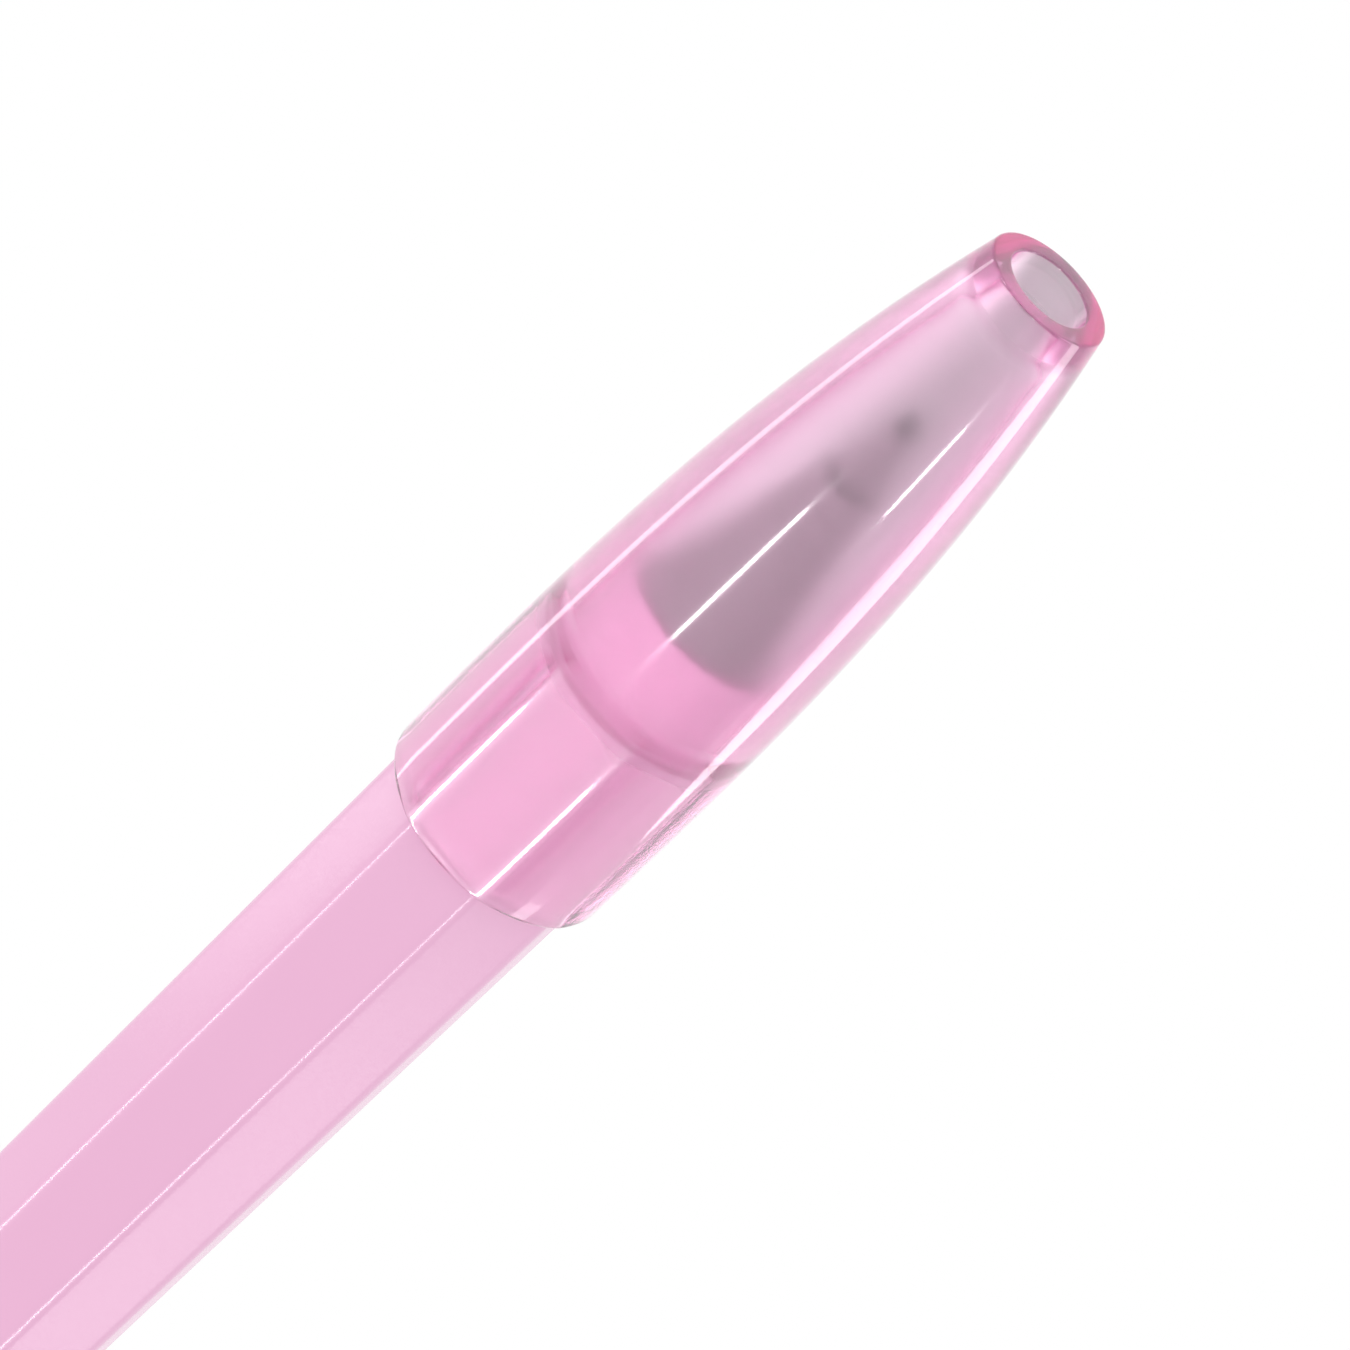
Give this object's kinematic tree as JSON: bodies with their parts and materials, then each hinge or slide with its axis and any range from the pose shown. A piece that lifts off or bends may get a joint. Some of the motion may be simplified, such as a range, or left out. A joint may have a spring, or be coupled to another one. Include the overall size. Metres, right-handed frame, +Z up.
{
  "type": "gel pen",
  "caption": "Capped gel pen with an eight-sided barrel, a clipless translucent cap with an open vent in its end, a screwed metal tip cone and a gel refill.",
  "frame": {"origin": "middle of the capped pen's length, on the surface that the cap's skirt touches", "axes": "+X along the pen from the tail plug to the cap's end, +Z up, one flat of the barrel facing straight up and one straight down"},
  "size_m": [0.148, 0.0098, 0.0099],
  "materials": {
    "barrel_plastic": "opaque pink moulded plastic, satin",
    "cap_plastic": "translucent pink moulded plastic, polished outside",
    "cone_metal": "turned nickel-plated brass, satin",
    "point_steel": "turned stainless steel",
    "ball_carbide": "polished tungsten carbide",
    "holder_plastic": "natural clear moulded plastic",
    "tube_plastic": "natural clear extruded plastic",
    "ink": "wet pink gel ink",
    "grease": "clear pale yellow grease",
    "float_plastic": "white moulded plastic"
  },
  "bodies": {
    "barrel": {"barrel": "barrel_plastic", "tail_plug": "barrel_plastic"},
    "cap": {"cap": "cap_plastic"},
    "refill": {"refill_tube": "tube_plastic", "tip_holder": "holder_plastic", "point_shell": "point_steel", "ball_spring": "point_steel", "gel_ink": "ink"},
    "tip_cone": {"tip_cone": "cone_metal"},
    "ball": {"ball": "ball_carbide"},
    "follower": {"follower_grease": "grease", "follower_float": "float_plastic"}
  },
  "joints": [
    {"name": "cap_pull", "type": "slide", "parent": "barrel", "child": "cap", "axis": [1, 0, 0], "range_m": [0, 0.045]},
    {"name": "cone_unscrew", "type": "hinge", "parent": "refill", "child": "tip_cone", "pos_m": [0.0635, 0, 0.00495], "axis": [1, 0, 0], "range_deg": [0, 1440.1]},
    {"name": "refill_advance", "type": "slide", "parent": "barrel", "child": "refill", "axis": [1, 0, 0], "range_m": [0, 0.004]},
    {"name": "ball_roll", "type": "hinge", "parent": "refill", "child": "ball", "pos_m": [0.06695, 0, 0.00495], "axis": [0, 1, 0], "continuous": true},
    {"name": "follower_travel", "type": "slide", "parent": "refill", "child": "follower", "axis": [1, 0, 0], "range_m": [0, 0.075], "deforming": ["gel_ink"]}
  ],
  "couplings": [
    {"joint": "cone_unscrew", "follows": "refill_advance", "rad_per_m": 6283.2}
  ]
}
